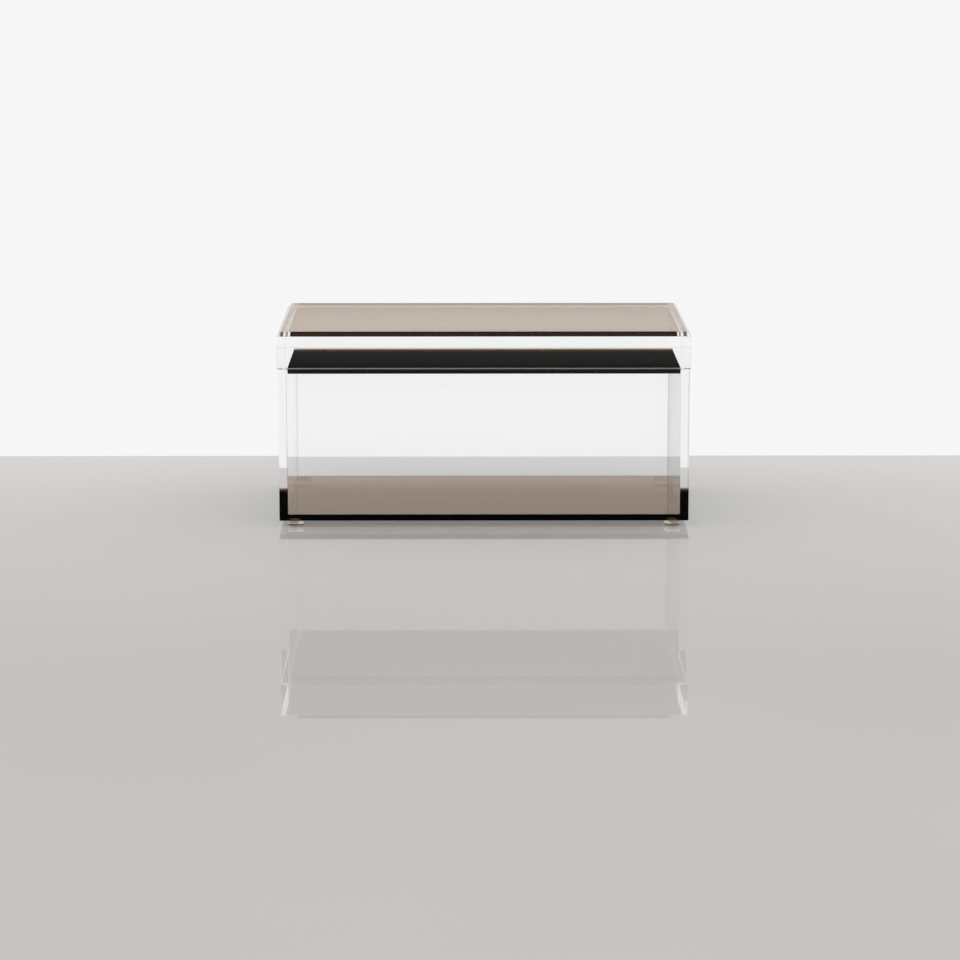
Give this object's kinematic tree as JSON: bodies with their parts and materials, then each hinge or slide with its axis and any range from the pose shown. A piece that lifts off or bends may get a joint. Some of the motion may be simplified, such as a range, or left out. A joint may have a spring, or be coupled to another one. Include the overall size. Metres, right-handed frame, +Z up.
{
  "type": "keepsake box",
  "caption": "Lift-off-lid keepsake box of clear acrylic walls on a bronze acrylic base, with a thick clear block lid over a bronze locating plate.",
  "frame": {"origin": "on the table under the middle of the box, midway between the four feet", "axes": "+X along the box's length to the right, +Y from the front wall to the back wall, +Z up through the lid"},
  "size_m": [0.2936, 0.1666, 0.1409],
  "materials": {
    "clear_acrylic": "clear cast acrylic, polished faces and edges",
    "bronze_acrylic": "transparent bronze cast acrylic, polished",
    "clear_bumper": "clear moulded polyurethane, glossy"
  },
  "bodies": {
    "box": {"front_wall": "clear_acrylic", "back_wall": "clear_acrylic", "left_wall": "clear_acrylic", "right_wall": "clear_acrylic", "base_plate": "bronze_acrylic", "foot_front_left": "clear_bumper", "foot_front_right": "clear_bumper", "foot_back_left": "clear_bumper", "foot_back_right": "clear_bumper"},
    "lid": {"lid_block": "clear_acrylic", "lid_locating_plate": "bronze_acrylic"}
  },
  "joints": [
    {"name": "lid_lift", "type": "slide", "parent": "box", "child": "lid", "axis": [0, 0, 1], "range_m": [0, 0.12]}
  ]
}
